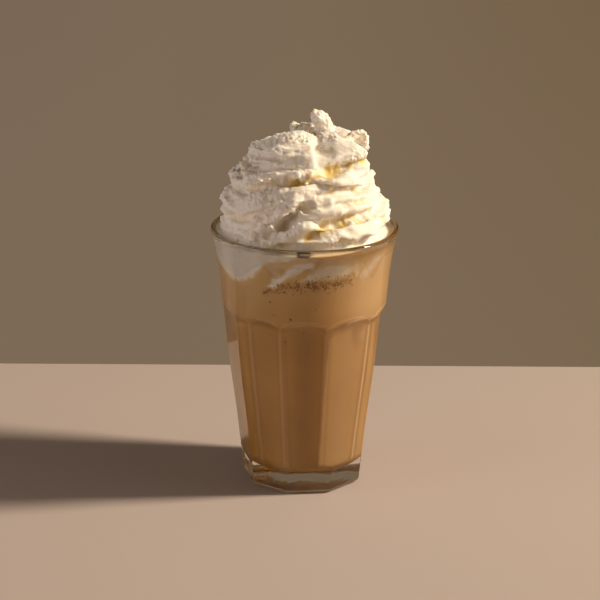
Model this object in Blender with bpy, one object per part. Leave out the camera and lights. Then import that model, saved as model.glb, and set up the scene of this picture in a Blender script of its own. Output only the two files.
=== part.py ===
"""Iced coffee in a tall panelled tumbler, topped with a piped swirl of whipped cream.

Metres, +Z up, front towards -Y. The origin is the middle of the tumbler's foot.
Azimuths are in degrees from the front, growing towards +X.
"""

import math

import bmesh
import bpy
from mathutils import Vector, noise

MM = 0.001

# Tumbler: outer profile as (height, radius), from the foot to the rim
GLASS_HEIGHT = 124.0 * MM
RIM_RADIUS = 44.0 * MM
RIM_BEAD_RADIUS = 1.35 * MM
FOOT_ROUNDING = 3.0 * MM
OUTER_PROFILE = [
    (FOOT_ROUNDING, 29.2 * MM),
    (30.0 * MM, 32.1 * MM),
    (60.0 * MM, 36.1 * MM),
    (88.0 * MM, 38.8 * MM),
    (108.0 * MM, 40.8 * MM),
    (116.5 * MM, 42.3 * MM),
    (GLASS_HEIGHT - RIM_BEAD_RADIUS, RIM_RADIUS),
]

# Tumbler: cavity
FLOOR_HEIGHT = 9.5 * MM
FLOOR_CORNER = 6.0 * MM
INNER_PROFILE = [
    (FLOOR_HEIGHT, 24.9 * MM),
    (60.0 * MM, 31.4 * MM),
    (112.0 * MM, 38.2 * MM),
    (117.5 * MM, 39.6 * MM),
    (GLASS_HEIGHT - RIM_BEAD_RADIUS, RIM_RADIUS - 2 * RIM_BEAD_RADIUS),
]

# Tumbler: flat panels pressed into its side, with an arched lip over each
PANELS = 9
FIRST_RIDGE = 25.5
RIDGE_ROUNDING = 2.0 * MM
LIP_START = 83.5 * MM
LIP_HEIGHT = 4.6 * MM
LIP_BLEND = 0.25 * MM

# Drink: where its top meets the wall, and the lobes of cream that dip into it there
GAP = 0.3 * MM
LEVEL_GAP = 0.6 * MM
DRINK_LEVEL = 114.0 * MM
DRINK_CENTRE = 109.0 * MM
CREAM_LOBES = [
    # azimuth, half width in degrees, depth below the drink's level
    (-52, 24, 8.5 * MM),
    (-18, 11, 5.5 * MM),
    (16, 17, 5.0 * MM),
    (52, 12, 9.0 * MM),
    (98, 16, 6.0 * MM),
    (146, 21, 8.0 * MM),
    (200, 18, 5.5 * MM),
    (240, 13, 7.5 * MM),
]

# Cream: a rope piped in a rising coil, its reach from the axis given every half turn,
# starting at the right inside the mouth, then left, right and so on
COIL_START = -0.75
COIL_END = 3.03
REACH_STEP = 0.5
COIL_REACH = [37.6, 39.4, 39.4, 38.0, 34.4, 34.0, 30.0, 26.6, 26.0, 20.0]
COIL_BASE = 127.2 * MM
COIL_PITCH = 11.0 * MM
ROPE_WIDTH = (10.0 * MM, 6.5 * MM)
ROPE_HEIGHT = (7.0 * MM, 5.8 * MM)
ROPE_FLUTES = 8
FLUTE_DEPTH = 0.08
FLUTE_TWIST = 0.8
SWAY = 1.1 * MM
SWAYS_PER_TURN = 5.0
CREST_ANGLE = 50.0
CREST_SPREAD = 26.0
CREST_REACH = 0.42
CRESTS_PER_TURN = 13.0
CALM_TURNS = (2.2, 2.6)
CALM_RIGHT = 0.85
CORE_START = -0.25
CORE_END = 3.3
CORE_INSET = 9.0 * MM
CORE_TOP = 167.0 * MM
TEAR_SIZE = 8.0 * MM
TEAR_DEPTH = 1.4 * MM
TEAR_SEED = 4

# Cream: strands pulled out of the coil, each through (x, y, height, half thickness) in mm
STRAND_OVERHANG = 0.6
STRANDS = {
    "back": [
        (19.5, 3, 161, 6.2),
        (14, 9.5, 163, 6.4),
        (5, 9.5, 164.5, 6.0),
        (-1, 4.5, 166, 4.8),
        (3, 1, 168.5, 4.0),
    ],
    "left_lobe": [
        (-20.5, -4, 156.5, 6.6),
        (-14.5, -8, 160.2, 7.6),
        (-7, -10, 162.8, 8.2),
        (-1, -9, 163.8, 7.2),
        (3, -6.5, 162, 5.4),
    ],
    "shoulder": [
        (22.5, -5, 153.5, 7.0),
        (20, -9.8, 157.5, 8.6),
        (14.6, -11.2, 161.4, 9.2),
        (12.2, -8.6, 165.2, 7.6),
        (11, -5, 167.6, 5.4),
    ],
    "nub": [
        (9.2, -1.5, 165.5, 4.0),
        (8.8, -1.5, 169.4, 4.5),
        (7.7, -1.5, 172.8, 4.6),
        (6.1, -1.5, 175.6, 3.8),
        (5.1, -1.5, 177.6, 2.8),
    ],
    "curl": [
        (18.5, -3, 164.5, 2.8),
        (21.5, -1, 167.3, 2.4),
        (24.8, 0.5, 167.8, 2.2),
        (27, 1, 165.2, 2.1),
        (26.4, -0.5, 161, 3.0),
    ],
    "curl_back": [(19.5, 1, 160.5, 3.6), (22.4, 1.8, 163.4, 3.0), (24.6, 1.8, 164.6, 2.2)],
    "under_shoulder": [
        (-2, -18.5, 157.5, 4.2),
        (6, -18.5, 157.2, 5.0),
        (14, -15.5, 157.5, 5.2),
        (21, -10, 158, 4.4),
    ],
    "left_fold": [(-26, -13, 152.5, 2.6), (-17, -20, 153, 4.4), (-9, -23.5, 152.6, 4.8), (-1, -24.5, 151.5, 3.4)],
    "left_spur": [(-29.5, -3, 146, 3.2), (-32.6, -1.5, 149.5, 2.1), (-33.8, -0.5, 152.4, 1.1)],
    "top_spur": [(-3, 4, 168, 3.4), (-5.2, 3, 170.6, 2.3), (-6.2, 3, 172.8, 1.2)],
    "rim_spur": [(-34.5, -4, 133.5, 3.6), (-37.2, -2, 137, 2.2), (-38.6, -1, 139.4, 1.1)],
    "front_fold": [
        (-31, -15, 136, 4.5),
        (-24, -23, 139.5, 5.6),
        (-13, -28, 143.5, 6.2),
        (0, -29.5, 146.5, 5.8),
        (12, -28, 147, 4.6),
    ],
    "torn_crest": [
        (-28.5, -20, 129, 2.6),
        (-23, -26, 132.8, 3.2),
        (-16.5, -30, 137, 3.4),
        (-10.5, -32.3, 140.2, 2.8),
        (-5, -33.4, 143.2, 2.2),
        (-1, -33.8, 145.4, 1.4),
    ],
}

# Mesh steps
PANEL_COLUMNS = (-20.0, -18.8, -13.0, -6.5, 0.0, 6.5, 13.0, 18.8)
PANEL_ROWS = [FOOT_ROUNDING, 22 * MM, 40 * MM, 60 * MM, 74 * MM, LIP_START]
LIP_SHARES = (0.3, 0.55, 0.8, 1.0, 1.15)
MOUTH_ROWS = [98 * MM, 108 * MM, 113 * MM, 116.5 * MM, 119.6 * MM]
CAVITY_ROWS = [120 * MM, 117.5 * MM, 114.5 * MM, 112 * MM, 86 * MM, 60 * MM, 34 * MM]
DRINK_ROWS = [40 * MM, 70 * MM, 96 * MM]
TOP_SHARES = (1.0, 0.82, 0.55, 0.25)
MOUTH_FILL_ROWS = [117.5 * MM, 121.0 * MM]
ROPE_STEPS_PER_TURN = 26
ROPE_PIECES = 6
LAP_STEPS = 1.5
LAP_SCALE = 0.9
STRAND_STEPS = 3
STRAND_SIDES = 9


def blend(x, low, high):
    """0 below low, 1 above high, and an even curve between."""
    t = min(max((x - low) / (high - low), 0.0), 1.0)
    return t * t * (3 - 2 * t)


def along(profile, x):
    """A smooth curve through (x, y) points that doesn't swing past them."""
    if x <= profile[0][0]:
        return profile[0][1]
    if x >= profile[-1][0]:
        return profile[-1][1]
    slopes = [(b[1] - a[1]) / (b[0] - a[0]) for a, b in zip(profile, profile[1:])]
    tangents = [slopes[0]]
    for before, after in zip(slopes, slopes[1:]):
        same_way = before * after > 0
        tangents.append(2 * before * after / (before + after) if same_way else 0.0)
    tangents.append(slopes[-1])
    i = next(i for i in range(len(slopes)) if x <= profile[i + 1][0])
    (x0, y0), (x1, y1) = profile[i], profile[i + 1]
    span = x1 - x0
    t = (x - x0) / span
    return (
        (1 + 2 * t) * (1 - t) ** 2 * y0
        + t * (1 - t) ** 2 * span * tangents[i]
        + t * t * (3 - 2 * t) * y1
        - t * t * (1 - t) * span * tangents[i + 1]
    )


def place(azimuth, radius, height):
    angle = math.radians(azimuth)
    return Vector((radius * math.sin(angle), -radius * math.cos(angle), height))


def body_radius(height):
    """The tumbler's outer radius before its panels are pressed in."""
    if height >= FOOT_ROUNDING:
        return along(OUTER_PROFILE, height)
    drop = FOOT_ROUNDING - height
    return OUTER_PROFILE[0][1] - FOOT_ROUNDING + math.sqrt(max(FOOT_ROUNDING**2 - drop**2, 0.0))


def panel_radius(from_middle, distance):
    """Radius of a regular outline with rounded corners whose sides are this far from the axis."""
    half = math.pi / PANELS
    if distance * math.tan(abs(from_middle)) <= (distance - RIDGE_ROUNDING) * math.tan(half):
        return distance / math.cos(from_middle)
    corner = (distance - RIDGE_ROUNDING) / math.cos(half)
    turn = half - abs(from_middle)
    return corner * math.cos(turn) + math.sqrt(RIDGE_ROUNDING**2 - (corner * math.sin(turn)) ** 2)


def outer_radius(azimuth, height):
    step = 360 / PANELS
    from_middle = math.radians((azimuth - FIRST_RIDGE) % step - step / 2)
    whole = body_radius(height)
    inset = whole * (1 - math.cos(math.pi / PANELS))
    lip = max((height - LIP_START) / LIP_HEIGHT, 0.0) ** 2
    side = panel_radius(from_middle, whole - inset + inset * min(lip, 3.0))
    softer = max(LIP_BLEND - abs(whole - side), 0.0) ** 2 / (4 * LIP_BLEND)
    return min(whole, side) - softer * blend(height, LIP_START - LIP_HEIGHT, LIP_START)


def inner_radius(height, gap=0.0):
    """The cavity's radius, with its rounded corner at the floor, less a gap."""
    radius = along(INNER_PROFILE, height) - gap
    above = height - (FLOOR_HEIGHT + gap)
    if above < FLOOR_CORNER:
        drop = FLOOR_CORNER - max(above, 0.0)
        radius += math.sqrt(max(FLOOR_CORNER**2 - drop**2, 0.0)) - FLOOR_CORNER
    return radius


def wall_contact(azimuth):
    """Height at which the drink's top meets the wall."""
    height = DRINK_LEVEL
    for middle, half_width, depth in CREAM_LOBES:
        away = abs((azimuth - middle + 180) % 360 - 180) / half_width
        if away < 1:
            height -= depth * math.cos(away * math.pi / 2) ** 2
    return height


def drink_top(azimuth, share):
    """Height of the drink's top at this share of the way from the axis to the wall."""
    return DRINK_CENTRE + (wall_contact(azimuth) - DRINK_CENTRE) * share**2


def material(name, colour, roughness, **more):
    made = bpy.data.materials.new(name)
    made.use_nodes = True
    shader = made.node_tree.nodes["Principled BSDF"]
    shader.inputs["Base Color"].default_value = (*colour, 1.0)
    shader.inputs["Roughness"].default_value = roughness
    shader.inputs["Metallic"].default_value = 0.0
    for socket, value in more.items():
        shader.inputs[socket.replace("_", " ")].default_value = value
    made.diffuse_color = (*colour, 1.0)
    return made


def columns():
    step = 360 / PANELS
    middles = [FIRST_RIDGE + step * (i + 0.5) for i in range(PANELS)]
    return [middle + offset for middle in middles for offset in PANEL_COLUMNS]


def loft(name, rings, first_point, last_point, collection):
    """A closed solid through rings of equal count, ending in a point at both ends.

    Its faces are triangles, so that each is flat and fuses exactly.
    """
    mesh = bmesh.new()
    rows = [[mesh.verts.new(point) for point in ring] for ring in rings]
    first = mesh.verts.new(first_point)
    last = mesh.verts.new(last_point)
    for i, corner in enumerate(rows[0]):
        mesh.faces.new((first, rows[0][i - 1], corner))
    for lower, upper in zip(rows, rows[1:]):
        for i in range(len(lower)):
            mesh.faces.new((lower[i - 1], upper[i - 1], upper[i], lower[i]))
    for i, corner in enumerate(rows[-1]):
        mesh.faces.new((last, corner, rows[-1][i - 1]))
    bmesh.ops.triangulate(mesh, faces=mesh.faces)
    bmesh.ops.recalc_face_normals(mesh, faces=mesh.faces)
    if mesh.calc_volume(signed=True) < 0:
        bmesh.ops.reverse_faces(mesh, faces=mesh.faces)
    data = bpy.data.meshes.new(name)
    mesh.to_mesh(data)
    mesh.free()
    data.shade_smooth()
    data.set_sharp_from_angle(angle=math.radians(40))
    made = bpy.data.objects.new(name, data)
    collection.objects.link(made)
    return made


def make_glass(collection):
    """One lofted wall: up the panelled outside, over the rim's bead and down the smooth cavity."""
    outside = [FOOT_ROUNDING * (1 - math.cos(math.radians(a))) for a in (0, 35, 60)]
    outside += PANEL_ROWS
    outside += [LIP_START + LIP_HEIGHT * part for part in LIP_SHARES]
    outside += MOUTH_ROWS
    rings = [[place(a, outer_radius(a, h), h) for a in columns()] for h in outside]
    bead_height = GLASS_HEIGHT - RIM_BEAD_RADIUS
    for angle in range(0, 181, 45):
        turn = math.radians(angle)
        radius = RIM_RADIUS - RIM_BEAD_RADIUS + RIM_BEAD_RADIUS * math.cos(turn)
        height = bead_height + RIM_BEAD_RADIUS * math.sin(turn)
        rings.append([place(a, radius, height) for a in columns()])
    corner = [FLOOR_HEIGHT + FLOOR_CORNER * (1 - math.cos(math.radians(a))) for a in (90, 60, 35, 0)]
    rings += [[place(a, inner_radius(h), h) for a in columns()] for h in CAVITY_ROWS + corner]
    finish = material("clear_glass", (0.93, 0.95, 0.91), 0.03, Transmission_Weight=1.0, IOR=1.5)
    made = loft("glass", rings, (0, 0, 0), (0, 0, FLOOR_HEIGHT), collection)
    made.data.materials.append(finish)


def make_coffee(collection):
    """The drink, a gap clear of the cavity and hollowed on top where the cream sinks in."""
    low = FLOOR_HEIGHT + GAP
    heights = [low + FLOOR_CORNER * (1 - math.cos(math.radians(a))) for a in (0, 35, 60, 90)]
    heights += DRINK_ROWS
    rings = [[place(a, inner_radius(h, GAP), h) for a in columns()] for h in heights]
    for share in TOP_SHARES:
        ring = []
        for a in columns():
            height = drink_top(a, share)
            ring.append(place(a, share * inner_radius(height, GAP), height))
        rings.append(ring)
    finish = material("milky_coffee", (0.38, 0.22, 0.11), 0.35)
    made = loft("coffee", rings, (0, 0, low), (0, 0, DRINK_CENTRE), collection)
    made.data.materials.append(finish)


def coil_reach(turn):
    """How far the coil's outside stands from the axis."""
    stations = [(COIL_START + REACH_STEP * i, reach * MM) for i, reach in enumerate(COIL_REACH)]
    return along(stations, turn)


def rope_size(turn):
    """Half width and half height of the rope."""
    part = blend(turn, 0.0, COIL_END)
    width = ROPE_WIDTH[0] + (ROPE_WIDTH[1] - ROPE_WIDTH[0]) * part
    height = ROPE_HEIGHT[0] + (ROPE_HEIGHT[1] - ROPE_HEIGHT[0]) * part
    return width, height


def rope_section(turn, scale, sides):
    """One fluted, unevenly torn section across the rope."""
    width, height = rope_size(turn)
    sway = noise.noise_vector((turn * SWAYS_PER_TURN, 0.0, 0.0)) * SWAY
    centre_radius = coil_reach(turn) - width + sway.x
    centre_height = COIL_BASE + COIL_PITCH * turn + sway.y
    torn = 0.5 + noise.noise((0.0, turn * CRESTS_PER_TURN, 0.0))
    torn *= 1 - blend(turn, *CALM_TURNS)
    torn *= 1 - CALM_RIGHT * max(math.sin(2 * math.pi * turn), 0.0)
    section = []
    for i in range(sides):
        angle = 2 * math.pi * i / sides
        shape = 1 + FLUTE_DEPTH * math.cos(ROPE_FLUTES * angle + FLUTE_TWIST * turn * 2 * math.pi)
        from_crest = (math.degrees(angle) - CREST_ANGLE + 180) % 360 - 180
        shape += CREST_REACH * max(torn, 0.0) * math.exp(-((from_crest / CREST_SPREAD) ** 2))
        out = scale * width * shape * math.cos(angle)
        up = scale * height * shape * math.sin(angle)
        point = place(360 * turn, centre_radius + out, centre_height + up)
        tear = noise.noise_vector(point / TEAR_SIZE) * TEAR_DEPTH
        section.append(point + tear)
    return section


def make_rope(collection):
    """The coil in lapped lengths, so that no length crosses itself."""
    sides = 2 * ROPE_FLUTES
    length = (COIL_END - COIL_START) / ROPE_PIECES
    lap = LAP_STEPS / 2 / ROPE_STEPS_PER_TURN
    for i in range(ROPE_PIECES):
        start = COIL_START + i * length - lap * (i > 0)
        stop = COIL_START + (i + 1) * length + lap * (i < ROPE_PIECES - 1)
        steps = round((stop - start) * ROPE_STEPS_PER_TURN)
        rings = []
        for j in range(steps + 1):
            scale = LAP_SCALE if j in (0, steps) else 1.0
            rings.append(rope_section(start + (stop - start) * j / steps, scale, sides))
        ends = [sum(ring, Vector()) / sides for ring in (rings[0], rings[-1])]
        loft(f"rope_{i}", rings, ends[0], ends[1], collection)


def make_core(collection):
    """The cream inside the coil, which fills the tumbler's mouth and sinks into the drink."""
    rings = []
    for share in reversed(TOP_SHARES):
        ring = []
        for a in columns():
            height = drink_top(a, share) + LEVEL_GAP
            ring.append(place(a, share * inner_radius(height, GAP), height))
        rings.append(ring)
    for height in MOUTH_FILL_ROWS:
        rings.append([place(a, inner_radius(height, GAP), height) for a in columns()])
    turn = CORE_START
    while turn < CORE_END:
        height = COIL_BASE + COIL_PITCH * turn
        rings.append([place(a, coil_reach(turn) - CORE_INSET, height) for a in columns()])
        turn += REACH_STEP
    loft("core", rings, (0, 0, DRINK_CENTRE + LEVEL_GAP), (0, 0, CORE_TOP), collection)


def smooth_path(points, steps):
    """Points along a smooth curve through these, each with its thickness as the fourth number."""
    places = [Vector(point) * MM for point in points]
    places = [2 * places[0] - places[1]] + places + [2 * places[-1] - places[-2]]
    path = []
    for a, b, c, d in zip(places, places[1:], places[2:], places[3:]):
        for i in range(steps):
            t = i / steps
            bend = (2 * a - 5 * b + 4 * c - d) * t + (3 * b - a - 3 * c + d) * t * t
            path.append(b + 0.5 * t * ((c - a) + bend))
    return path + [places[-2]]


def make_strand(name, points, collection):
    """A tapering strand with an uneven side, round the path through these points."""
    path = smooth_path(points, STRAND_STEPS)
    middles = [entry.to_3d() for entry in path]
    ends = [middles[0]] + middles + [middles[-1]]
    side = None
    rings = []
    for before, middle, after, entry in zip(ends, middles, ends[2:], path):
        way = (after - before).normalized()
        if side is None:
            side = way.orthogonal()
        side = (side - way * side.dot(way)).normalized()
        other = way.cross(side)
        ring = []
        for i in range(STRAND_SIDES):
            angle = 2 * math.pi * i / STRAND_SIDES
            out = (side * math.cos(angle) + other * math.sin(angle)) * entry.w
            ring.append(middle + out + noise.noise_vector((middle + out) / TEAR_SIZE) * TEAR_DEPTH / 2)
        rings.append(ring)
    overhang = (middles[-1] - middles[-2]).normalized() * path[-1].w * STRAND_OVERHANG
    loft(name, rings, middles[0], middles[-1] + overhang, collection)


def fill_hollows(data):
    """Keeps the outermost shell of a mesh, so that what fusing sealed inside is solid."""
    mesh = bmesh.new()
    mesh.from_mesh(data)
    left = set(mesh.faces)
    shells = []
    while left:
        shell = [left.pop()]
        for face in shell:
            near = {other for edge in face.edges for other in edge.link_faces} & left
            left -= near
            shell.extend(near)
        shells.append(shell)
    shells.sort(key=len)
    bmesh.ops.delete(mesh, geom=[face for shell in shells[:-1] for face in shell], context="FACES")
    mesh.to_mesh(data)
    mesh.free()


def make_cream(collection, pieces):
    """All the cream, its pieces fused into one solid."""
    make_core(pieces)
    make_rope(pieces)
    for name, points in STRANDS.items():
        make_strand(name, points, pieces)
    body = pieces.objects["core"]
    pieces.objects.unlink(body)
    collection.objects.link(body)
    fuse = body.modifiers.new("fuse", "BOOLEAN")
    fuse.operation = "UNION"
    fuse.operand_type = "COLLECTION"
    fuse.collection = pieces
    graph = bpy.context.evaluated_depsgraph_get()
    fused = bpy.data.meshes.new_from_object(body.evaluated_get(graph))
    for piece in list(pieces.objects):
        bpy.data.objects.remove(piece)
    bpy.data.objects.remove(body)
    fill_hollows(fused)
    fused.name = "cream"
    fused.materials.clear()
    fused.materials.append(material("whipped_cream", (0.86, 0.80, 0.70), 0.5))
    made = bpy.data.objects.new("cream", fused)
    collection.objects.link(made)
    return made


def main():
    for old in list(bpy.data.objects):
        bpy.data.objects.remove(old)
    noise.seed_set(TEAR_SEED)
    drink = bpy.data.collections.new("iced_coffee")
    pieces = bpy.data.collections.new("cream_pieces")
    for group in (drink, pieces):
        bpy.context.scene.collection.children.link(group)
    make_glass(drink)
    make_coffee(drink)
    make_cream(drink, pieces)


main()
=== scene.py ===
"""Looks for the iced coffee: pressed glass, milky coffee and a piped swirl of whipped cream.

Metres, +Z up, front towards -Y. Azimuths are in degrees from the front, growing towards +X.
"""

import math
import random

import bmesh
import bpy
import numpy as np
from mathutils import Matrix, Vector, noise


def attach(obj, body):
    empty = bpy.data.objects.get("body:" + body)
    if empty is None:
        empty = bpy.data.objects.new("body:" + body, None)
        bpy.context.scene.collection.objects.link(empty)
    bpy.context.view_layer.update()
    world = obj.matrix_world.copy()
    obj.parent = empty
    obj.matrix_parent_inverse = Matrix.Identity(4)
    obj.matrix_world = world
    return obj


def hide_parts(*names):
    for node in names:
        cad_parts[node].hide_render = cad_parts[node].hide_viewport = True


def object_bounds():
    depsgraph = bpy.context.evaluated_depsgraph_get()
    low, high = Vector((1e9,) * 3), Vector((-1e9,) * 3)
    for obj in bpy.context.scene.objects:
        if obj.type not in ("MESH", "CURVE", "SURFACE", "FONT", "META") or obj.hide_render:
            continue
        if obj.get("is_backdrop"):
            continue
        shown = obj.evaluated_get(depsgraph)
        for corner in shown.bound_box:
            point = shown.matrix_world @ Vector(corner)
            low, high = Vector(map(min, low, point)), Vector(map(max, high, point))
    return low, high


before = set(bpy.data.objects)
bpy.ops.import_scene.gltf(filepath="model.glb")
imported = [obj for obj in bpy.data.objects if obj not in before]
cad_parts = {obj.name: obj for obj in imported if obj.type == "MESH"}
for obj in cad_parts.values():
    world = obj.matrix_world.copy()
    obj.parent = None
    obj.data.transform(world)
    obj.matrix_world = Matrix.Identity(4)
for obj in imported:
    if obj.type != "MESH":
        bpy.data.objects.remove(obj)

cad_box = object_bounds()

MM = 0.001

# Tumbler, as in the solids: outer and inner profiles as (height, radius)
GLASS_HEIGHT = 124.0 * MM
RIM_RADIUS = 44.0 * MM
RIM_BEAD_RADIUS = 1.35 * MM
FOOT_ROUNDING = 3.0 * MM
BEAD_HEIGHT = GLASS_HEIGHT - RIM_BEAD_RADIUS
OUTER_PROFILE = [
    (FOOT_ROUNDING, 29.2 * MM), (30.0 * MM, 32.1 * MM), (60.0 * MM, 36.1 * MM), (88.0 * MM, 38.8 * MM),
    (108.0 * MM, 40.8 * MM), (116.5 * MM, 42.3 * MM), (BEAD_HEIGHT, RIM_RADIUS),
]
FLOOR_HEIGHT = 9.5 * MM
FLOOR_CORNER = 6.0 * MM
INNER_PROFILE = [
    (FLOOR_HEIGHT, 24.9 * MM), (60.0 * MM, 31.4 * MM), (112.0 * MM, 38.2 * MM), (117.5 * MM, 39.6 * MM),
    (BEAD_HEIGHT, RIM_RADIUS - 2 * RIM_BEAD_RADIUS),
]
PANELS = 9
FIRST_RIDGE = 25.5
RIDGE_ROUNDING = 2.0 * MM
LIP_START = 83.5 * MM
LIP_HEIGHT = 4.6 * MM
LIP_BLEND = 0.25 * MM

# Drink, as in the solids, but reaching just into the wall
INTO_WALL = 0.05 * MM
DRINK_LEVEL = 114.0 * MM
DRINK_CENTRE = 109.0 * MM
CREAM_LOBES = [
    # azimuth, half width in degrees, depth below the drink's level
    (-52, 24, 8.5 * MM), (-18, 11, 5.5 * MM), (16, 17, 5.0 * MM), (52, 12, 9.0 * MM), (98, 16, 6.0 * MM),
    (146, 21, 8.0 * MM), (200, 18, 5.5 * MM), (240, 13, 7.5 * MM),
]

# Cream, close to the solids: a rope piped in a rising coil round a core
COIL_START = -0.75
COIL_END = 3.03
COIL_REACH = [37.6, 39.4, 39.4, 38.0, 34.4, 34.0, 30.0, 26.6, 26.0, 20.0]
COIL_BASE = 127.2 * MM
COIL_PITCH = 11.0 * MM
ROPE_WIDTH = (10.0 * MM, 6.5 * MM)
ROPE_HEIGHT = (7.0 * MM, 5.8 * MM)
ROPE_FLUTES = 8
FLUTE_DEPTH = 0.08
FLUTE_TWIST = 0.8
SWAY = 1.1 * MM
SWAYS_PER_TURN = 5.0
CREST_ANGLE = 50.0
CREST_SPREAD = 26.0
CREST_REACH = 0.42
CRESTS_PER_TURN = 13.0
CALM_TURNS = (2.2, 2.6)
CALM_RIGHT = 0.85
CORE_START = -0.25
CORE_END = 3.3
CORE_INSET = 9.0 * MM
CORE_TOP = 167.0 * MM
CORE_AT_WALL = (117.5 * MM, 119.2 * MM, 121.0 * MM)
TEAR_SIZE = 8.0 * MM
TEAR_DEPTH = 1.4 * MM
TEAR_SEED = 4
STRANDS = {
    # each through (x, y, height, half thickness) in mm
    "back": [
        (19.5, 3, 161, 6.2), (14, 9.5, 163, 6.4), (5, 9.5, 164.5, 6.0), (-1, 4.5, 166, 4.8),
        (3, 1, 168.5, 4.0),
    ],
    "left_lobe": [
        (-20.5, -4, 156.5, 6.6), (-14.5, -8, 160.2, 7.6), (-7, -10, 162.8, 8.2), (-1, -9, 163.8, 7.2),
        (3, -6.5, 162, 5.4),
    ],
    "shoulder": [
        (22.5, -5, 153.5, 7.0), (20, -9.8, 157.5, 8.6), (14.8, -9.6, 161, 8.1), (12.6, -7.4, 164, 6.4),
        (10.5, -4.5, 166.6, 4.6),
    ],
    "slope": [
        (8.8, -3, 166, 4.2), (8.4, -7.6, 165.3, 4.5), (10, -12, 161.6, 4.9), (13.4, -16, 157.4, 4.4),
    ],
    "nub": [
        (9.2, -1.5, 165.5, 4.0), (8.8, -1.5, 169.4, 4.5), (7.7, -1.5, 172.8, 4.6),
        (6.1, -1.5, 175.6, 3.8), (5.1, -1.5, 177.6, 2.8),
    ],
    "curl": [
        (18.5, -3, 164.5, 2.8), (21.5, -1, 167.3, 2.4), (24.8, 0.5, 167.8, 2.2), (27, 1, 165.2, 2.1),
        (26.4, -0.5, 161, 3.0),
    ],
    "curl_back": [(19.5, 1, 160.5, 3.6), (22.4, 1.8, 163.4, 3.0), (24.6, 1.8, 164.6, 2.2)],
    "under_shoulder": [
        (-3, -13.5, 158, 3.6), (5.5, -17.8, 157.4, 4.6), (14, -15.5, 157.5, 5.2), (21, -10, 158, 4.4),
    ],
    "left_fold": [
        (-26, -13, 152.5, 2.6), (-17, -20, 153, 4.4), (-10, -23.3, 152.6, 4.6), (-4, -23, 151.5, 2.6),
    ],
    "left_spur": [(-29.5, -3, 146, 3.2), (-32.6, -1.5, 149.5, 2.1), (-33.8, -0.5, 152.4, 1.1)],
    "top_spur": [(-3, 4, 168, 3.4), (-5.2, 3, 170.6, 2.3), (-6.2, 3, 172.8, 1.2)],
    "rim_spur": [(-34.5, -4, 133.5, 3.6), (-37.2, -2, 137, 2.2), (-38.6, -1, 139.4, 1.1)],
    "front_fold": [
        (-31, -15, 136, 4.5), (-24, -23, 139.5, 5.6), (-13, -28, 143.5, 6.2), (-2, -29.5, 146, 5.2),
        (5, -26, 146.4, 3.2),
    ],
    "torn_crest": [
        (-28.5, -20, 129, 2.6), (-23, -26, 132.8, 3.2), (-16.5, -30, 137, 3.4),
        (-10.5, -32.3, 140.2, 2.8), (-5, -33.4, 143.2, 2.2), (-1, -33.8, 145.4, 1.4),
    ],
}

# Cream against the glass under the rim, as (strength, softness of its edge in mm, outline
# through (azimuth, height in mm)), with coffee or a thin amber film everywhere else
WALL_CREAM = [
    # left lobe, up to the rim
    (1.0, 2.0, [
        (-95, 124), (-88, 112), (-75, 108.6), (-66, 106.3), (-56, 104.6), (-47, 104.9), (-41, 106.4),
        (-37, 108.7), (-31, 112.6), (-24, 117.2), (-16, 118.6), (-6, 119.6), (-5, 124)]),
    # streak
    (1.0, 1.6, [
        (-26, 104.9), (-22, 104.2), (-18, 106), (-14, 108.2), (-10, 110.3), (-5, 112.5), (0, 114.6),
        (5, 116.2), (6, 118), (1, 118.2), (-4, 116.9), (-9, 115.2), (-14, 112.7), (-18, 110.3),
        (-23, 107.6)]),
    # patch
    (0.75, 2.4, [
        (-1, 108.4), (3, 108.2), (8, 108.8), (14, 109.5), (20, 109.8), (26, 109.9), (31, 111.2),
        (33, 112.6), (32, 114.6), (26, 115.7), (19, 116.1), (11, 115.4), (7, 113.8), (3, 112), (0, 110)]),
    # strip under the rim
    (0.85, 1.0, [(-16, 119.6), (-10, 120.6), (0, 120.2), (1, 122.5), (-14, 122.5)]),
    # right lobe
    (0.6, 2.8, [
        (40, 108.6), (45, 107.6), (49, 109), (52, 111.3), (55, 113.5), (60, 116), (57, 116.5),
        (51, 115.6), (46, 113.8), (42, 111)]),
    # hook by the patch
    (0.5, 1.6, [(34, 112.2), (38, 109.5), (39, 111), (37, 114), (34, 115.3)]),
]
THICK_CREAM = 0.7
# Outline, as (azimuth, height in mm), of painted shade in a gap between the cream and the glass under the
# front rim
NOTCH = [(-5, 122.6), (-5, 120.8), (-2, 120.4), (2, 120.5), (4, 121.4), (4, 122.6)]
AMBER_BAND = 3.5 * MM

# Bubbles at the wall: a band through (azimuth, height in mm, spread in mm), and lone ones
BUBBLE_BAND = [
    (-34, 100.8, 0.7), (-22, 103.2, 1.0), (-12, 105.4, 1.3), (3, 106.4, 1.4), (15, 106.4, 1.5),
    (29, 107.2, 1.9), (37, 107.0, 2.2),
]
BUBBLES = 1200
LONE_BUBBLES = [
    # azimuth, height in mm, radius in mm
    (-25.0, 97.2, 0.45), (-10.0, 89.4, 0.62), (-22.4, 90.8, 0.3), (-0.5, 82.6, 0.4), (-15.0, 78.0, 0.4),
    (-26.5, 72.0, 0.4), (8.0, 94.6, 0.3), (2.3, 107.0, 0.75), (-12.5, 104.9, 0.55), (33.0, 107.7, 0.6),
    (12.5, 106.6, 0.5),
]
BUBBLE_SEED = 11

# Where each ridge's light falls on the drink, as (azimuth there, azimuth of the ridge)
BENT_BY_GLASS = [
    (-180, -180), (-94.5, -94.5), (-46.0, -54.5), (-18.0, -14.5), (17.5, 25.5), (58.9, 65.5),
    (105.5, 105.5), (180, 180),
]

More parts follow.
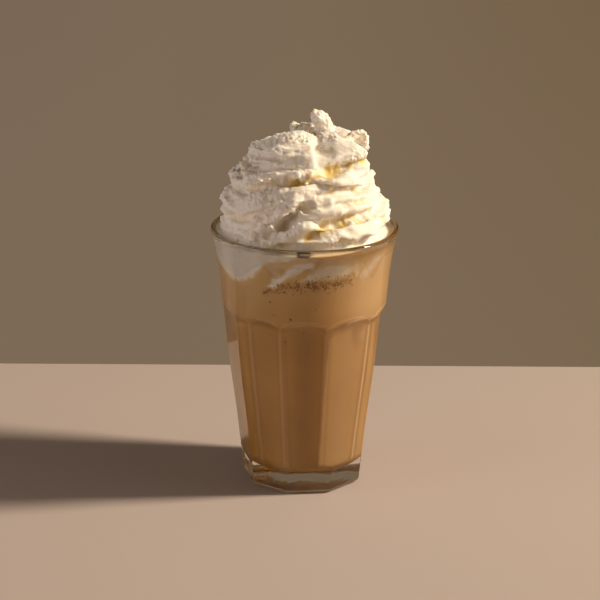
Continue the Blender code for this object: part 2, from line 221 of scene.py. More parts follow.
# Crumbs torn off the peak's side, as (x, y, height, radius) in mm
CRUMBS = [
    (7.6, -1.8, 178.2, 1.3), (5.2, -1.8, 178.4, 2.0), (9.8, -2.0, 176.8, 1.4), (11.2, -2.0, 175.0, 1.1),
    (12.3, -2.4, 173.0, 1.5), (13.2, -2.6, 170.6, 1.3), (3.4, -2.5, 177.6, 1.0), (3.6, -5.0, 172.6, 1.2),
    (7.0, -5.6, 176.5, 1.1),
]

# Where the strands at the top run into each other, as (x, half width, height, half height) in mm
SOFTENED = [(14, 9, 163.5, 6.5), (4, 8, 156.5, 5)]

# Small torn flakes on the crests
FLAKES = 44
FLAKE_SEED = 3

# Folds in the cream, as (width mm, depth mm, painted warm shade in the crease, share of its lip below the
# fold, points as (azimuth, height in mm))
FOLDS = [
    (1.7, 3.0, 2.4, 0.35, [
        (-15, 153), (-7, 152.6), (4, 153.3), (16, 154.7), (30, 156.3), (44, 157.5), (62, 158.6),
        (84, 157.2)]),
    (1.0, 0.8, 0.3, 0.35, [(-64, 155.4), (-54, 156.8), (-36, 157.5), (-22, 156.4)]),
    (0.9, 0.4, 1.6, 0.2, [(-46, 155.8), (-41, 156.4), (-37, 156.2)]),
    (1.5, 2.6, 0.7, 0.35, [
        (-69, 143.8), (-48, 147.8), (-25, 151.2), (-4, 152.6), (12, 151.4), (34, 148), (55, 145.8),
        (75, 143)]),
    (2.6, 5.6, 0.25, 0.3, [(-30, 127.8), (-21, 131), (-10, 136.8), (-3, 140.8), (2, 143.2)]),
    (2.6, 0.3, 0.7, 0.2, [(52, 126.6), (64, 128.4), (76, 130.6)]),
    (1.6, 0.4, 0.5, 0.2, [(28, 130), (40, 129.4), (52, 130)]),
    (1.1, 1.6, 0.0, 0.35, [(-46, 129.4), (-34, 133.2), (-22, 138.6), (-12, 142.2)]),
    (0.8, 1.0, 0.0, 0.35, [(-40, 141.4), (-28, 144.4), (-14, 147.2)]),
    (2.0, 3.4, 1.6, 0.3, [
        (-22, 122.8), (-12, 125), (-4, 127), (6, 130.3), (14, 132.8), (26, 133.9), (53, 133.4), (66, 132)]),
    (1.0, 1.3, 0.2, 0.35, [(30, 157.8), (44, 160.6), (60, 162.6)]),
    (0.8, 0.4, 1.4, 0.2, [(82, 166.6), (88, 167.6), (94, 167.2)]),
    (1.2, 1.0, 0.9, 0.35, [(14, 135.8), (26, 136.8), (44, 136.6), (58, 135.6)]),
    (1.2, 0.5, 1.1, 0.2, [(-24, 123.6), (-19, 123.2)]),
    (1.2, 0.5, 1.1, 0.2, [(-8, 123.4), (-3, 123.6)]),
    (1.2, 0.5, 1.2, 0.2, [(48, 147.2), (56, 146.8)]),
    (1.0, 0.5, 1.2, 0.2, [(46, 137.8), (54, 137.4)]),
    (1.3, 1.6, 0.7, 0.35, [(20, 128), (24, 127), (32, 124.6), (41, 122.9)]),
    (1.0, 1.6, 0.2, 0.35, [(-50, 135), (-36, 137.4), (-22, 141.6), (-10, 144.4)]),
    (0.8, 0.9, 0.1, 0.35, [(-70, 131), (-52, 132), (-40, 135)]),
    (1.0, 1.2, 0.8, 0.35, [(16, 146.2), (28, 147.8), (42, 148.4), (56, 147)]),
    (0.8, 0.9, 0.5, 0.35, [(4, 141.6), (20, 141.8), (38, 142.4), (58, 140.6), (72, 139)]),
    (0.7, 0.8, 0.2, 0.35, [(-44, 124.4), (-30, 125), (-16, 123.4)]),
    (0.8, 0.8, 0.0, 0.35, [(-60, 150.4), (-44, 152.4), (-28, 154.4)]),
    (1.2, 1.8, 0.0, 0.35, [(-54, 160.6), (-38, 162.4), (-20, 161), (-4, 162.8)]),
]
MORE_FOLDS = 46
LIP_SHARE = 0.55
LOWER_LIP = 0.35
FOLD_SEED = 7

# Mesh steps
PANEL_COLUMNS = 28
GLASS_ROW = 1.0 * MM
LIP_ROW = 0.25 * MM
ROPE_STEPS_PER_TURN = 90
ROPE_SIDES = 48
ROPE_PIECES = 6
LAP_STEPS = 5
STRAND_STEPS = 8
STRAND_SIDES = 20
CREAM_VOXEL = 0.5 * MM
WALL_ROWS = 36
FINE_ROWS_FROM = 96 * MM
SEAM_LAP = 1.0 * MM

# Hollow under the foot
RECESS_RADIUS = 23.0 * MM
RECESS_DEPTH = 1.7 * MM

# Colours
CREAM = (0.93, 0.87, 0.785)
# painted warm shade in the cream's creases
CREASE_SHADE = (0.78, 0.61, 0.24)
# painted shade of the gap under the front rim
NOTCH_SHADE = (0.10, 0.06, 0.03)
WALL_TONE = (1.0, 0.955, 0.87)
AMBER = (0.78, 0.53, 0.18)
# painted light on the drink, also its paler upper left
GLEAM = (0.97, 0.75, 0.48)
# painted shade on the drink, which also darkens a stipple along the bubble band
SHADE = (0.34, 0.17, 0.04)
CLEAR_TINT = (0.965, 0.975, 0.945)
RIM_TINT = (0.27, 0.24, 0.145)
STRAIGHT_LIGHT = (0.16, 0.15, 0.13)
FLOOR = (0.44, 0.375, 0.345)
BACKDROP_TONES = [
    (0.0, (0.197, 0.140, 0.098)), (0.5, (0.206, 0.144, 0.090)), (1.0, (0.183, 0.123, 0.069)),
]
COFFEE_TONES = [
    (0.0, (0.55, 0.280, 0.058)), (0.68, (0.58, 0.305, 0.072)), (0.84, (0.67, 0.405, 0.145)),
    (1.0, (0.72, 0.47, 0.20)),
]

# Camera, fitted to the photograph
LENS = 85.0
SENSOR = 24.0
CAMERA_PITCH = math.radians(17.698)
CAMERA_ROLL = math.radians(0.342)
CAMERA_DISTANCE = 1.009414
CAMERA_AIM = Vector((0.0, 0.0, 0.062))
CAMERA_LEFT = 0.002022
CAMERA_UP = 0.024123

# Stage and lights
FLOOR_EDGE = 0.155
FLOOR_LEVEL = -0.05 * MM
KEY_PLACE = (0.695, -0.010, 0.584)
KEY_WIDTH = 0.12
LAMP_AIM = Vector((0.0, 0.0, 0.09))


def blend(x, low, high):
    """0 below low, 1 above high, and an even curve between."""
    t = min(max((x - low) / (high - low), 0.0), 1.0)
    return t * t * (3 - 2 * t)


def between(a, b, part):
    return a + (b - a) * part


def rise(x, low, high):
    """0 at low and before it, 1 at high and past it, and straight between."""
    return np.clip((x - low) / (high - low), 0, 1)


def bell(x, middle, width):
    """1 in the middle, falling off to both sides."""
    return np.exp(-(((x - middle) / width) ** 2))


def along(profile, x):
    """A smooth curve through (x, y) points that doesn't swing past them."""
    if x <= profile[0][0]:
        return profile[0][1]
    if x >= profile[-1][0]:
        return profile[-1][1]
    slopes = [(b[1] - a[1]) / (b[0] - a[0]) for a, b in zip(profile, profile[1:])]
    tangents = [slopes[0]]
    for before, after in zip(slopes, slopes[1:]):
        same_way = before * after > 0
        tangents.append(2 * before * after / (before + after) if same_way else 0.0)
    tangents.append(slopes[-1])
    i = next(i for i in range(len(slopes)) if x <= profile[i + 1][0])
    (x0, y0), (x1, y1) = profile[i], profile[i + 1]
    span = x1 - x0
    t = (x - x0) / span
    return (
        (1 + 2 * t) * (1 - t) ** 2 * y0
        + t * (1 - t) ** 2 * span * tangents[i]
        + t * t * (3 - 2 * t) * y1
        - t * t * (1 - t) * span * tangents[i + 1]
    )


def place(azimuth, radius, height):
    angle = math.radians(azimuth)
    return Vector((radius * math.sin(angle), -radius * math.cos(angle), height))


def body_radius(height):
    """The tumbler's outer radius before its panels are pressed in."""
    if height >= FOOT_ROUNDING:
        return along(OUTER_PROFILE, height)
    drop = FOOT_ROUNDING - height
    return OUTER_PROFILE[0][1] - FOOT_ROUNDING + math.sqrt(max(FOOT_ROUNDING**2 - drop**2, 0.0))


def panel_radius(from_middle, distance):
    """Radius of a regular outline with rounded corners whose sides are this far from the axis."""
    half = math.pi / PANELS
    if distance * math.tan(abs(from_middle)) <= (distance - RIDGE_ROUNDING) * math.tan(half):
        return distance / math.cos(from_middle)
    corner = (distance - RIDGE_ROUNDING) / math.cos(half)
    turn = half - abs(from_middle)
    return corner * math.cos(turn) + math.sqrt(RIDGE_ROUNDING**2 - (corner * math.sin(turn)) ** 2)


def outer_radius(azimuth, height):
    step = 360 / PANELS
    from_middle = math.radians((azimuth - FIRST_RIDGE) % step - step / 2)
    whole = body_radius(height)
    inset = whole * (1 - math.cos(math.pi / PANELS))
    lip = max((height - LIP_START) / LIP_HEIGHT, 0.0) ** 2
    side = panel_radius(from_middle, whole - inset + inset * min(lip, 3.0))
    softer = max(LIP_BLEND - abs(whole - side), 0.0) ** 2 / (4 * LIP_BLEND)
    return min(whole, side) - softer * blend(height, LIP_START - LIP_HEIGHT, LIP_START)


def inner_radius(height, gap=0.0):
    """The cavity's radius, with its rounded corner at the floor, less a gap."""
    radius = along(INNER_PROFILE, height) - gap
    above = height - (FLOOR_HEIGHT + gap)
    if above < FLOOR_CORNER:
        drop = FLOOR_CORNER - max(above, 0.0)
        radius += math.sqrt(max(FLOOR_CORNER**2 - drop**2, 0.0)) - FLOOR_CORNER
    return radius


def wall_point(azimuth, height, share=1.0):
    """A point just inside the wall, or at this share of the way to it from the axis."""
    return place(azimuth, share * inner_radius(height, -INTO_WALL), height)


def wall_contact(azimuth):
    """Height at which the drink's top meets the wall."""
    height = DRINK_LEVEL
    for middle, half_width, depth in CREAM_LOBES:
        away = abs((azimuth - middle + 180) % 360 - 180) / half_width
        if away < 1:
            height -= depth * math.cos(away * math.pi / 2) ** 2
    return height


def drink_top(azimuth, share):
    """Height of the drink's top at this share of the way from the axis to the wall."""
    return DRINK_CENTRE + (wall_contact(azimuth) - DRINK_CENTRE) * share**2


def rings_mesh(name, rings, first_point, last_point):
    """A closed mesh through rings of equal count, ending in a point at both ends."""
    count = len(rings[0])
    points = [tuple(point) for ring in rings for point in ring]
    points += [tuple(first_point), tuple(last_point)]
    first, last = len(points) - 2, len(points) - 1
    faces = [(first, (i - 1) % count, i) for i in range(count)]
    for row in range(len(rings) - 1):
        low, high = row * count, (row + 1) * count
        for i in range(count):
            before = (i - 1) % count
            faces.append((low + before, high + before, high + i, low + i))
    top = (len(rings) - 1) * count
    faces += [(last, top + i, top + (i - 1) % count) for i in range(count)]
    data = bpy.data.meshes.new(name)
    data.from_pydata(points, [], faces)
    face_outwards(data)
    data.shade_smooth()
    return data


def face_outwards(data):
    mesh = bmesh.new()
    mesh.from_mesh(data)
    bmesh.ops.recalc_face_normals(mesh, faces=mesh.faces)
    if mesh.calc_volume(signed=True) < 0:
        bmesh.ops.reverse_faces(mesh, faces=mesh.faces)
    mesh.to_mesh(data)
    mesh.free()


def add_piece(name, data, finish):
    made = bpy.data.objects.new(name, data)
    data.materials.append(finish)
    bpy.context.scene.collection.objects.link(made)
    return made


class Finish:
    """A material with its Principled shader, and short ways to add and link nodes."""

    def __init__(self, name, **values):
        self.made = bpy.data.materials.new(name)
        self.made.use_nodes = True
        self.shader = self.made.node_tree.nodes["Principled BSDF"]
        self.link = self.made.node_tree.links.new
        self.fill(self.shader, values)

    def fill(self, node, values):
        for key, value in values.items():
            if hasattr(node, key):
                setattr(node, key, value)
            else:
                node.inputs[key.replace("_", " ")].default_value = value

    def node(self, kind, **values):
        added = self.made.node_tree.nodes.new(kind)
        self.fill(added, values)
        return added

    def into(self, socket, value):
        """Links a value to the Principled shader."""
        self.link(value, self.shader.inputs[socket])

    def in_space(self, kind, **values):
        """The outputs of a node that reads the object's own space."""
        added = self.node(kind, **values)
        self.link(self.node("ShaderNodeTexCoord").outputs["Object"], added.inputs["Vector"])
        return added.outputs

    def spread(self, value, low, high, start=0.0, end=1.0):
        """A value, spread from start at low to end at high."""
        added = self.node("ShaderNodeMapRange", From_Min=low, From_Max=high, To_Min=start, To_Max=end)
        self.link(value, added.inputs["Value"])
        return added.outputs["Result"]

    def ramp(self, value, stops):
        """Colours over a value, through (position, colour) stops."""
        added = self.node("ShaderNodeValToRGB")
        elements = added.color_ramp.elements
        while len(elements) < len(stops):
            elements.new(1.0)
        for element, (position, colour) in zip(elements, stops):
            element.position = position
            element.color = (*colour, 1.0)
        self.link(value, added.inputs["Fac"])
        return added.outputs["Color"]

    def painted(self, base, layers):
        """Colours over a base, each as (attribute that says where, colour, strength)."""
        for name, colour, strength in layers:
            amount = self.node("ShaderNodeAttribute", attribute_name=name)
            weaker = self.node("ShaderNodeMath", operation="MULTIPLY")
            weaker.inputs[1].default_value = strength
            layer = self.node("ShaderNodeMix", data_type="RGBA")
            layer.inputs["B"].default_value = (*colour, 1.0)
            self.link(amount.outputs["Fac"], weaker.inputs[0])
            self.link(weaker.outputs["Value"], layer.inputs["Factor"])
            if isinstance(base, tuple):
                layer.inputs["A"].default_value = (*base, 1.0)
            else:
                self.link(base, layer.inputs["A"])
            base = layer.outputs["Result"]
        return base


def glass_finish():
    """Clear pressed glass, dark olive in its thick bead, which lets some light straight through."""
    finish = Finish("clear_glass", Transmission_Weight=1.0, IOR=1.5)
    link = finish.link
    height = finish.in_space("ShaderNodeSeparateXYZ")["Z"]
    waves = finish.node("ShaderNodeBump", Strength=0.05, Distance=0.001)
    link(finish.in_space("ShaderNodeTexNoise", Scale=55.0, Detail=1.0)["Fac"], waves.inputs["Height"])
    base = finish.node("ShaderNodeBump", Distance=0.0012)
    link(finish.spread(height, 6 * MM, 12 * MM, 0.35, 0.0), base.inputs["Strength"])
    link(finish.in_space("ShaderNodeTexNoise", Scale=130.0, Detail=2.0)["Fac"], base.inputs["Height"])
    link(waves.outputs["Normal"], base.inputs["Normal"])
    finish.into("Normal", base.outputs["Normal"])
    smears = finish.in_space("ShaderNodeTexNoise", Scale=90.0, Detail=3.0)["Fac"]
    finish.into("Roughness", finish.spread(smears, 0.45, 0.8, 0.01, 0.04))
    bead = finish.spread(height, 122.1 * MM, 123.2 * MM)
    finish.into("Base Color", finish.ramp(bead, [(0.0, CLEAR_TINT), (1.0, RIM_TINT)]))
    path = finish.node("ShaderNodeLightPath")
    clear = finish.node("ShaderNodeBsdfTransparent")
    clear.inputs["Color"].default_value = (*STRAIGHT_LIGHT, 1.0)
    mix = finish.node("ShaderNodeMixShader")
    link(path.outputs["Is Shadow Ray"], mix.inputs["Fac"])
    link(finish.shader.outputs["BSDF"], mix.inputs[1])
    link(clear.outputs["BSDF"], mix.inputs[2])
    output = finish.made.node_tree.nodes["Material Output"]
    link(mix.outputs["Shader"], output.inputs["Surface"])
    return finish.made


def coffee_finish():
    """Opaque milky coffee, paler and foamier towards its top, with cream against the glass, and painted light
    and shade from the glass panels.
    """
    finish = Finish("milky_coffee", Roughness=0.45, Specular_IOR_Level=0.2)
    height = finish.in_space("ShaderNodeSeparateXYZ")["Z"]
    colours = finish.ramp(finish.spread(height, 0.0, 120 * MM), COFFEE_TONES)
    swirl = finish.in_space("ShaderNodeTexNoise", Scale=34.0, Detail=5.0, Roughness=0.6)["Fac"]
    tones = finish.ramp(swirl, [(0.3, (0.90, 0.88, 0.85)), (0.7, (1.06, 1.07, 1.1))])
    mixed = finish.node("ShaderNodeMix", data_type="RGBA", blend_type="MULTIPLY")
    mixed.inputs["Factor"].default_value = 1.0
    finish.link(colours, mixed.inputs["A"])
    finish.link(tones, mixed.inputs["B"])
    # amber film and cream at the wall, then painted light and painted shade from the panels
    layers = [("amber", AMBER, 1.0), ("creamy", WALL_TONE, 1.0), ("gleam", GLEAM, 0.8), ("shade", SHADE, 0.5)]
    finish.into("Base Color", finish.painted(mixed.outputs["Result"], layers))
    return finish.made


def cream_finish():
    """Whipped cream: soft light through it, painted warm shade in its creases, painted shade in a gap under
    the rim and a grainy surface.
    """
    finish = Finish("whipped_cream", Roughness=0.5, Specular_IOR_Level=0.35)
    soft = {"Subsurface_Weight": 0.5, "Subsurface_Radius": (1.0, 0.75, 0.5), "Subsurface_Scale": 1.8 * MM}
    finish.fill(finish.shader, soft)
    coffee = COFFEE_TONES[-1][1]
    # painted warm shade in the creases, amber film and coffee where the cream meets the wall, and painted
    # shade in the gap under the rim
    layers = [("crease_shade", CREASE_SHADE, 1.0), ("amber", AMBER, 1.0), ("coffee", coffee, 1.0), ("dark", NOTCH_SHADE, 1.0)]
    finish.into("Base Color", finish.painted(CREAM, layers))
    bump = finish.node("ShaderNodeBump", Strength=0.55, Distance=0.0006)
    grain = finish.in_space("ShaderNodeTexNoise", Scale=800.0, Detail=5.0, Roughness=0.7)["Fac"]
    finish.link(grain, bump.inputs["Height"])
    finish.into("Normal", bump.outputs["Normal"])
    return finish.made


def glass_columns():
    """Azimuths round the tumbler, closer together at the ridges."""
    step = 360 / PANELS
    columns = []
    for panel in range(PANELS):
        for i in range(PANEL_COLUMNS):
            t = i / PANEL_COLUMNS
            eased = t - 0.13 * math.sin(2 * math.pi * t)
            columns.append(FIRST_RIDGE + step * (panel + eased))
    return columns


def steps(low, high, size):
    count = max(round((high - low) / size), 1)
    return [low + (high - low) * i / count for i in range(count)]


def make_glass():
    """One wall: up the panelled outside, over the rim's bead and down the smooth cavity."""
    columns = glass_columns()
    outside = [FOOT_ROUNDING * (1 - math.cos(math.radians(a))) for a in range(0, 90, 6)]
    outside += steps(FOOT_ROUNDING, LIP_START - LIP_HEIGHT, 2 * GLASS_ROW)
    outside += steps(LIP_START - LIP_HEIGHT, LIP_START + 1.8 * LIP_HEIGHT, LIP_ROW)
    outside += steps(LIP_START + 1.8 * LIP_HEIGHT, BEAD_HEIGHT, GLASS_ROW)
    rings = [[place(a, outer_radius(a, h), h) for a in columns] for h in outside]
    for angle in range(0, 181, 12):
        turn = math.radians(angle)
        radius = RIM_RADIUS - RIM_BEAD_RADIUS + RIM_BEAD_RADIUS * math.cos(turn)
        height = BEAD_HEIGHT + RIM_BEAD_RADIUS * math.sin(turn)
        rings.append([place(a, radius, height) for a in columns])
    inside = steps(FLOOR_HEIGHT + FLOOR_CORNER, BEAD_HEIGHT, 2 * GLASS_ROW)[::-1]
    inside += [FLOOR_HEIGHT + FLOOR_CORNER * (1 - math.cos(math.radians(a))) for a in range(84, -1, -6)]
    rings += [[place(a, inner_radius(h), h) for a in columns] for h in inside]
    foot = [(share * RECESS_RADIUS, RECESS_DEPTH * (1 - share**2)) for share in steps(0.1, 1.0, 0.1) + [1.0]]
    rings = [[place(a, radius, height) for a in columns] for radius, height in foot] + rings
    data = rings_mesh("glass_wall", rings, (0, 0, RECESS_DEPTH), (0, 0, FLOOR_HEIGHT))
    return add_piece("glass_wall", data, glass_finish())


def make_coffee():
    """The drink, reaching just into the wall, with its top under the cream."""
    columns = [0.75 * i for i in range(480)]
    low = FLOOR_HEIGHT - INTO_WALL
    heights = [low + FLOOR_CORNER * (1 - math.cos(math.radians(a))) for a in range(0, 90, 10)]
    heights += steps(low + FLOOR_CORNER, 76 * MM, 3 * MM)
    heights += steps(76 * MM, FINE_ROWS_FROM, 0.4 * MM)
    rings = [[wall_point(a, h) for a in columns] for h in heights]
    for part in [i / WALL_ROWS for i in range(WALL_ROWS + 1)]:
        ring = []
        for a in columns:
            height = between(FINE_ROWS_FROM, wall_contact(a) + SEAM_LAP, part)
            ring.append(place(a, inner_radius(height, -INTO_WALL * (1 + part)), height))
        rings.append(ring)
    for share in (0.95, 0.9, 0.8, 0.65, 0.5, 0.35, 0.2):
        rings.append([wall_point(a, drink_top(a, share), share) for a in columns])
    data = rings_mesh("milky_drink", rings, (0, 0, low), (0, 0, DRINK_CENTRE))
    skin = Skin(data)
    cream, film = wall_paint(*skin.around())
    skin.keep("creamy", cream)
    skin.keep("amber", film * (1 - cream))
    # painted light and shade from the glass panels
    gleam, shade = panel_light(*skin.around())
    skin.keep("gleam", gleam)
    skin.keep("shade", shade)
    return add_piece("milky_drink", data, coffee_finish())


def coil_reach(turn):
    """How far the coil's outside stands from the axis."""
    stations = [(COIL_START + 0.5 * i, reach * MM) for i, reach in enumerate(COIL_REACH)]
    return along(stations, turn)


def rope_size(turn):
    """Half width and half height of the rope."""
    part = blend(turn, 0.0, COIL_END)
    return between(*ROPE_WIDTH, part), between(*ROPE_HEIGHT, part)


def rope_middle(turn):
    """Radius and height of the rope's middle."""
    sway = noise.noise_vector((turn * SWAYS_PER_TURN, 0.0, 0.0)) * SWAY
    return coil_reach(turn) - rope_size(turn)[0] + sway.x, COIL_BASE + COIL_PITCH * turn + sway.y


def rope_section(turn, scale):
    """One fluted, unevenly torn section across the rope."""
    width, height = rope_size(turn)
    radius, level = rope_middle(turn)
    torn = 0.5 + noise.noise((0.0, turn * CRESTS_PER_TURN, 0.0))
    torn *= 1 - blend(turn, *CALM_TURNS)
    torn *= 1 - CALM_RIGHT * max(math.sin(2 * math.pi * turn), 0.0)
    section = []
    for i in range(ROPE_SIDES):
        angle = 2 * math.pi * i / ROPE_SIDES
        shape = 1 + FLUTE_DEPTH * math.cos(ROPE_FLUTES * angle + FLUTE_TWIST * turn * 2 * math.pi)
        from_crest = (math.degrees(angle) - CREST_ANGLE + 180) % 360 - 180
        shape += CREST_REACH * max(torn, 0.0) * math.exp(-((from_crest / CREST_SPREAD) ** 2))
        out = scale * width * shape * math.cos(angle)
        up = scale * height * shape * math.sin(angle)
        point = place(360 * turn, radius + out, level + up)
        section.append(point + noise.noise_vector(point / TEAR_SIZE) * TEAR_DEPTH)
    return section


def rope_meshes():
    """The coil in lapped lengths."""
    length = (COIL_END - COIL_START) / ROPE_PIECES
    lap = LAP_STEPS / 2 / ROPE_STEPS_PER_TURN
    for i in range(ROPE_PIECES):
        start = COIL_START + i * length - lap * (i > 0)
        stop = COIL_START + (i + 1) * length + lap * (i < ROPE_PIECES - 1)
        count = round((stop - start) * ROPE_STEPS_PER_TURN)
        rings = []
        for j in range(count + 1):
            scale = 0.9 if j in (0, count) else 1.0
            rings.append(rope_section(start + (stop - start) * j / count, scale))
        ends = [sum(ring, Vector()) / ROPE_SIDES for ring in (rings[0], rings[-1])]
        yield rings_mesh(f"rope_{i}", rings, ends[0], ends[1])


def core_mesh():
    """The cream inside the coil, which fills the tumbler's mouth and sinks into the drink."""
    columns = [3.0 * i for i in range(120)]
    rings = []
    for share in (0.2, 0.35, 0.5, 0.65, 0.8, 0.9, 1.0):
        rings.append([wall_point(a, drink_top(a, share) - INTO_WALL, share) for a in columns])
    for part in (0.25, 0.5, 0.75):
        rings.append([wall_point(a, between(wall_contact(a), CORE_AT_WALL[0], part)) for a in columns])
    for height in CORE_AT_WALL:
        rings.append([wall_point(a, height) for a in columns])
    turn = CORE_START
    while turn < CORE_END:
        height = COIL_BASE + COIL_PITCH * turn
        rings.append([place(a, coil_reach(turn) - CORE_INSET, height) for a in columns])
        turn += 0.5
    return rings_mesh("core", rings, (0, 0, DRINK_CENTRE - INTO_WALL), (0, 0, CORE_TOP))


def smooth_path(points, count):
    """Points along a smooth curve through these, each with its thickness as the fourth number."""
    places = [Vector(point) * MM for point in points]
    places = [2 * places[0] - places[1]] + places + [2 * places[-1] - places[-2]]
    path = []
    for a, b, c, d in zip(places, places[1:], places[2:], places[3:]):
        for i in range(count):
            t = i / count
            bend = (2 * a - 5 * b + 4 * c - d) * t + (3 * b - a - 3 * c + d) * t * t
            path.append(b + 0.5 * t * ((c - a) + bend))
    return path + [places[-2]]


def strand_mesh(name, points):
    """A tapering strand with an uneven side, round the path through these points."""
    path = smooth_path(points, STRAND_STEPS)
    middles = [entry.to_3d() for entry in path]
    ends = [middles[0]] + middles + [middles[-1]]
    side = None
    rings = []
    for before, middle, after, entry in zip(ends, middles, ends[2:], path):
        way = (after - before).normalized()
        if side is None:
            side = way.orthogonal()
        side = (side - way * side.dot(way)).normalized()
        other = way.cross(side)
        ring = []
        for i in range(STRAND_SIDES):
            angle = 2 * math.pi * i / STRAND_SIDES
            out = (side * math.cos(angle) + other * math.sin(angle)) * entry.w
            ring.append(middle + out + noise.noise_vector((middle + out) / TEAR_SIZE) * TEAR_DEPTH / 2)
        rings.append(ring)
    overhang = (middles[-1] - middles[-2]).normalized() * path[-1].w * 0.6
    return rings_mesh(name, rings, middles[0], middles[-1] + overhang)


def fused(meshes, voxel):
    """The meshes as one skin of even cells, without loose scraps or inner shells."""
    mesh = bmesh.new()
    for data in meshes:
        mesh.from_mesh(data)
        bpy.data.meshes.remove(data)
    joined = bpy.data.meshes.new("cream_parts")
    mesh.to_mesh(joined)
    mesh.free()
    body = bpy.data.objects.new("cream_parts", joined)
    bpy.context.scene.collection.objects.link(body)
    remesh = body.modifiers.new("fuse", "REMESH")
    remesh.mode = "VOXEL"
    remesh.voxel_size = voxel
    graph = bpy.context.evaluated_depsgraph_get()
    data = bpy.data.meshes.new_from_object(body.evaluated_get(graph))
    bpy.data.objects.remove(body)
    mesh = bmesh.new()
    mesh.from_mesh(data)
    left = set(mesh.faces)
    shells = []
    while left:
        shell = [left.pop()]
        for face in shell:
            near = {other for edge in face.edges for other in edge.link_faces} & left
            left -= near
            shell.extend(near)
        shells.append(shell)
    shells.sort(key=len)
    bmesh.ops.delete(mesh, geom=[face for shell in shells[:-1] for face in shell], context="FACES")
    mesh.to_mesh(data)
    mesh.free()
    return data


class Skin:
    """A mesh's points as arrays, for shaping them together."""

    def __init__(self, data):
        self.data = data
        self.points = np.empty(len(data.vertices) * 3)
        data.vertices.foreach_get("co", self.points)
        self.points = self.points.reshape(-1, 3)
        edges = np.empty(len(data.edges) * 2, np.int64)
        data.edges.foreach_get("vertices", edges)
        self.ends = edges.reshape(-1, 2)
        self.valence = np.bincount(edges, minlength=len(self.points)).astype(float)

    def averaged(self, values, times):
        """Values smoothed over neighbours this many times."""
        a, b = self.ends[:, 0], self.ends[:, 1]
        for _ in range(times):
            total = np.zeros_like(values)
            for k in range(values.shape[1]):
                column = values[:, k]
                total[:, k] = np.bincount(a, column[b], len(column)) + np.bincount(b, column[a], len(column))
            values = 0.4 * values + 0.6 * total / self.valence[:, None]
        return values

    def normals(self):
        self.store()
        values = np.empty(len(self.points) * 3)
        self.data.vertices.foreach_get("normal", values)
        return values.reshape(-1, 3)

    def store(self):
        self.data.vertices.foreach_set("co", self.points.ravel())
        self.data.update()

    def around(self):
        """Azimuth of each point in degrees, and the points."""
        return np.degrees(np.arctan2(self.points[:, 0], -self.points[:, 1])), self.points

    def hollowness(self, times):
        """How deep each point lies below the average of the skin around it."""
        away = self.averaged(self.points, times) - self.points
        return np.einsum("ij,ij->i", away, self.normals())

    def keep(self, name, values):
        attribute = self.data.attributes.new(name, "FLOAT", "POINT")
        attribute.data.foreach_set("value", np.clip(values, 0.0, 1.0).astype(np.float32))


def panel_light(azimuth, points):
    """Painted light and shade on the drink: light gathered by the panels' ridges and arches, a painted sheen
    on its right, a paler patch on its upper left, and painted shade beside, under and between them; the shade
    also darkens a stipple along the bubble band.
    """
    step = 360 / PANELS
    seen, pressed = zip(*BENT_BY_GLASS)
    azimuth = np.interp(azimuth, seen, pressed)
    turned = np.radians((azimuth - FIRST_RIDGE) % step - step / 2)
    height = points[:, 2]
    share = 1 - (1 - np.cos(turned)) / (1 - math.cos(math.pi / PANELS))
    arch = LIP_START + LIP_HEIGHT * np.sqrt(np.clip(share, 0, 1))
    radius = np.hypot(points[:, 0], points[:, 1])
    from_ridge = (math.pi / PANELS - np.abs(turned)) * radius
    below = rise(height, LIP_START, LIP_START - 3 * MM)
    lit = 0.22 + 0.78 * bell(azimuth, 68, 26)
    side = radius > inner_radius(FLOOR_HEIGHT + FLOOR_CORNER) - 1 * MM
    wide = np.where(azimuth < 40, 1.2, 0.75) * MM
    # painted light along the ridges and arches, and painted shade under the arches and beside the ridges
    ridge = bell(from_ridge, 0, wide) * below
    line = bell(height, arch, 0.55 * MM) * (share > 0)
    under = bell(height, arch - 2.4 * MM, 1.6 * MM) * (share > 0.1)
    beside = bell(from_ridge, 1.8 * MM, 1.0 * MM) * below
    lines = np.maximum(ridge, line) * lit
    # painted sheen on the right, where the glass shows the lit floor, and a painted patch of light under the
    # right arch
    start = 24
    full = start + 3 + 24 * rise(height, 84 * MM, 89 * MM)
    right = (0.26 + 0.2 * rise(height, 86 * MM, 94 * MM)) * rise(azimuth, start, full)
    right *= rise(azimuth, 110, 90)
    right += 0.35 * bell(azimuth, 56, 6) * bell(height, 78 * MM, 4 * MM)
    # paler on the upper left, laid on with the painted light
    left = 0.28 * bell(azimuth, -62, 26) * rise(height, 80 * MM, 90 * MM)
    # painted shade in the middle, behind the front panel
    dim = 0.3 * bell(azimuth, 8, 17) * rise(height, 104 * MM, 92 * MM)
    shade = np.maximum(0.6 * np.maximum(under, beside), dim)
    shade *= 1 - np.minimum(lines, 1)
    # a darker brown stipple along the bubble band, carried with the painted shade
    band = np.interp(azimuth, [a for a, _, _ in BUBBLE_BAND], [h for _, h, _ in BUBBLE_BAND]) * MM
    froth = bell(height, band, 1.8 * MM) * rise(azimuth, -34, -26) * (azimuth < 40)
    froth *= np.clip(0.45 + 1.6 * uneven(points, 1.6 * MM, 31.0), 0, 1)
    return np.maximum(lines, right + left) * side, np.maximum(shade, froth) * side


